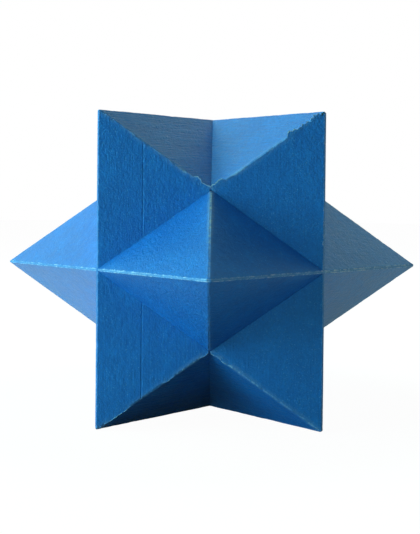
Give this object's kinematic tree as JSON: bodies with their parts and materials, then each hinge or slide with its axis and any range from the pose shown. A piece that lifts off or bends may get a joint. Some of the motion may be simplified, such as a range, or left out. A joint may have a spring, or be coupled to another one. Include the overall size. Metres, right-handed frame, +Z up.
{
  "type": "burr puzzle",
  "caption": "Star-shaped wooden burr puzzle of notched square sticks with chisel ends, painted blue, that slides apart in two halves.",
  "frame": {"origin": "on the surface the puzzle stands on, straight under its middle", "axes": "+Z up along the two upright sticks; +X along the top and bottom sticks, with +X towards the right-hand side stick; +Y along the two side sticks, away from the front upright stick"},
  "size_m": [0.1068, 0.1068, 0.1068],
  "materials": {
    "blue_paint_upright_front": "satin blue paint over wood, worn on the edges",
    "blue_paint_upright_back": "satin blue paint over wood, worn on the edges",
    "blue_paint_side_right": "satin blue paint over wood, worn on the edges",
    "blue_paint_side_left": "satin blue paint over wood, worn on the edges",
    "blue_paint_top": "satin blue paint over wood, worn on the edges",
    "blue_paint_bottom": "satin blue paint over wood, worn on the edges"
  },
  "bodies": {
    "bottom_stick": {"bottom_stick": "blue_paint_bottom"},
    "side_left_stick": {"side_left_stick": "blue_paint_side_left"},
    "upright_back_stick": {"upright_back_stick": "blue_paint_upright_back"},
    "upright_front_stick": {"upright_front_stick": "blue_paint_upright_front"},
    "side_right_stick": {"side_right_stick": "blue_paint_side_right"},
    "top_stick": {"top_stick": "blue_paint_top"}
  },
  "joints": [
    {"name": "halves_slide", "type": "slide", "parent": "side_left_stick", "child": "upright_front_stick", "axis": [0.5774, -0.5774, 0.5774], "range_m": [0, 0.065]},
    {"name": "side_left_spread", "type": "slide", "parent": "bottom_stick", "child": "side_left_stick", "axis": [-0.5774, -0.5774, 0.5774], "range_m": [0, 0.047]},
    {"name": "upright_back_spread", "type": "slide", "parent": "side_left_stick", "child": "upright_back_stick", "axis": [0.7071, 0.7071, 0], "range_m": [0, 0.077]},
    {"name": "side_right_spread", "type": "slide", "parent": "upright_front_stick", "child": "side_right_stick", "axis": [0.7071, 0.7071, 0], "range_m": [0, 0.077]},
    {"name": "top_spread", "type": "slide", "parent": "upright_front_stick", "child": "top_stick", "axis": [0.5774, 0.5774, 0.5774], "range_m": [0, 0.048]}
  ],
  "couplings": [
    {"joint": "upright_back_spread", "follows": "side_left_spread", "ratio": 1.633},
    {"joint": "side_right_spread", "follows": "side_left_spread", "ratio": 1.633},
    {"joint": "top_spread", "follows": "side_left_spread", "ratio": 1}
  ]
}
